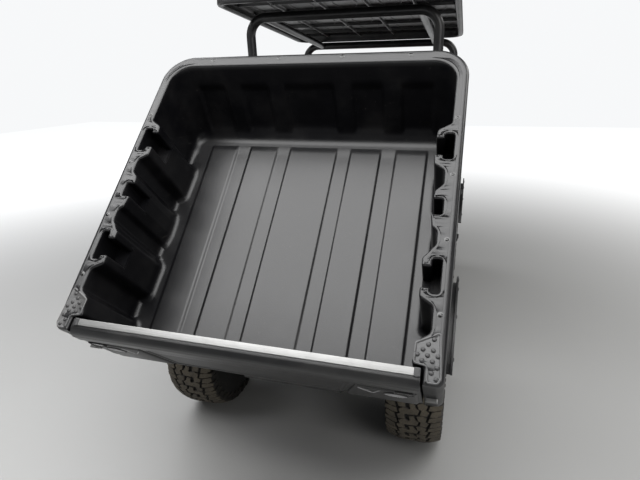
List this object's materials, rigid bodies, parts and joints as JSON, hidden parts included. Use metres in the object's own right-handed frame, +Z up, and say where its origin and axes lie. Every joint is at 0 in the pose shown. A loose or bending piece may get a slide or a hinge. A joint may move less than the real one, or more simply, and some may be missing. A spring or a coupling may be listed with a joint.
{
  "type": "side by side utility vehicle",
  "caption": "Side by side utility vehicle with a raised tipping cargo bed, tailgate, caged cab, ribbed roof and four treaded wheels.",
  "frame": {"origin": "on the ground under the middle of the whole vehicle as it stands, bed raised", "axes": "+X the vehicle's right, +Y its front, +Z up"},
  "size_m": [1.328, 3.3186, 2.0111],
  "materials": {
    "frame_steel": "satin black powder coat",
    "cage_black": "semi gloss black powder coat",
    "roof_plastic": "grained black moulded plastic",
    "seat_vinyl": "black grained vinyl",
    "trim_plastic": "grained black moulded plastic",
    "body_paint": "gloss coloured plastic",
    "lamp_clear": "clear lens",
    "lamp_red": "red lens",
    "lamp_dark": "dark textured lens",
    "cast_alloy": "sand cast",
    "exhaust_steel": "heat dulled steel",
    "shaft_steel": "machined steel",
    "strut_black": "gloss black",
    "bed_plastic": "grained black moulded plastic",
    "strip_aluminium": "brushed lengthways",
    "tyre": "rubber with dusty tread",
    "rim_alloy": "satin black"
  },
  "bodies": {
    "chassis": {"chassis_frame": "frame_steel", "floor_pan": "frame_steel", "skid_plate": "frame_steel", "cage": "cage_black", "roof": "roof_plastic", "seat_pedestal": "frame_steel", "seats": "seat_vinyl", "dash": "trim_plastic", "steering_column": "trim_plastic", "hood": "body_paint", "front_fascia": "body_paint", "headlamps": "lamp_clear", "front_bumper": "cage_black", "fenders": "trim_plastic", "rockers": "trim_plastic", "controls": "trim_plastic", "tail_lamps": "lamp_red", "engine": "cast_alloy", "exhaust": "exhaust_steel", "drivetrain": "cast_alloy", "suspension_arms": "frame_steel", "rear_hubs": "cast_alloy", "shocks": "shaft_steel", "half_shafts": "shaft_steel"},
    "steering_wheel": {"steering_wheel": "trim_plastic"},
    "steering_rack": {"tie_rods": "shaft_steel"},
    "knuckle_left": {"knuckle_left": "cast_alloy"},
    "knuckle_right": {"knuckle_right": "cast_alloy"},
    "wheel_front_left": {"tyre_front_left": "tyre", "rim_front_left": "rim_alloy"},
    "wheel_front_right": {"tyre_front_right": "tyre", "rim_front_right": "rim_alloy"},
    "wheel_rear_left": {"tyre_rear_left": "tyre", "rim_rear_left": "rim_alloy"},
    "wheel_rear_right": {"tyre_rear_right": "tyre", "rim_rear_right": "rim_alloy"},
    "bed": {"bed_tub": "bed_plastic", "bed_pads": "bed_plastic", "bed_frame": "frame_steel"},
    "tailgate": {"tailgate_panel": "bed_plastic", "tailgate_strip": "strip_aluminium", "tailgate_lamps": "lamp_dark"},
    "strut_tube": {"strut_tube": "strut_black"},
    "strut_rod": {"strut_rod": "shaft_steel"},
    "door_left": {"door_left": "body_paint"},
    "door_right": {"door_right": "body_paint"}
  },
  "joints": [
    {"name": "knuckle_left_steer", "type": "hinge", "parent": "chassis", "child": "knuckle_left", "pos_m": [-0.395, 1.25927, 0.333], "axis": [0, 0, 1], "range_deg": [-30, 30]},
    {"name": "wheel_front_left_spin", "type": "hinge", "parent": "knuckle_left", "child": "wheel_front_left", "pos_m": [-0.522, 1.25927, 0.333], "axis": [1, 0, 0], "continuous": true},
    {"name": "wheel_rear_left_spin", "type": "hinge", "parent": "chassis", "child": "wheel_rear_left", "pos_m": [-0.522, -0.78073, 0.333], "axis": [1, 0, 0], "continuous": true},
    {"name": "knuckle_right_steer", "type": "hinge", "parent": "chassis", "child": "knuckle_right", "pos_m": [0.395, 1.25927, 0.333], "axis": [0, 0, 1], "range_deg": [-30, 30]},
    {"name": "wheel_front_right_spin", "type": "hinge", "parent": "knuckle_right", "child": "wheel_front_right", "pos_m": [0.522, 1.25927, 0.333], "axis": [1, 0, 0], "continuous": true},
    {"name": "wheel_rear_right_spin", "type": "hinge", "parent": "chassis", "child": "wheel_rear_right", "pos_m": [0.522, -0.78073, 0.333], "axis": [1, 0, 0], "continuous": true},
    {"name": "steering_turn", "type": "hinge", "parent": "chassis", "child": "steering_wheel", "pos_m": [-0.318, 0.55427, 1.015], "axis": [0, -0.766, 0.6428], "range_deg": [-270, 270]},
    {"name": "rack_slide", "type": "slide", "parent": "chassis", "child": "steering_rack", "axis": [1, 0, 0], "range_m": [-0.0451, 0.0451]},
    {"name": "bed_tilt", "type": "hinge", "parent": "chassis", "child": "bed", "pos_m": [0, -1.09573, 0.824], "axis": [1, 0, 0], "range_deg": [-44.6, 0]},
    {"name": "tailgate_drop", "type": "hinge", "parent": "bed", "child": "tailgate", "pos_m": [0, -1.42867, 0.63752], "axis": [1, 0, 0], "range_deg": [0, 90]},
    {"name": "door_left_swing", "type": "hinge", "parent": "chassis", "child": "door_left", "pos_m": [-0.64, 0.77927, 0.64], "axis": [0, 0, -1], "range_deg": [0, 70]},
    {"name": "door_right_swing", "type": "hinge", "parent": "chassis", "child": "door_right", "pos_m": [0.64, 0.77927, 0.64], "axis": [0, 0, 1], "range_deg": [0, 70]},
    {"name": "strut_swing", "type": "hinge", "parent": "chassis", "child": "strut_tube", "pos_m": [0.158, -0.85073, 0.5], "axis": [1, 0, 0], "range_deg": [-14, 0]},
    {"name": "strut_slide", "type": "slide", "parent": "strut_tube", "child": "strut_rod", "axis": [0, -0.1503, 0.9886], "range_m": [-0.19, 0]}
  ],
  "couplings": [
    {"joint": "knuckle_left_steer", "follows": "steering_turn", "ratio": 0.111},
    {"joint": "knuckle_right_steer", "follows": "steering_turn", "ratio": 0.111},
    {"joint": "rack_slide", "follows": "steering_turn", "m_per_rad": 0.009549},
    {"joint": "strut_swing", "follows": "bed_tilt", "ratio": 0.27},
    {"joint": "strut_slide", "follows": "bed_tilt", "m_per_rad": 0.2306}
  ]
}
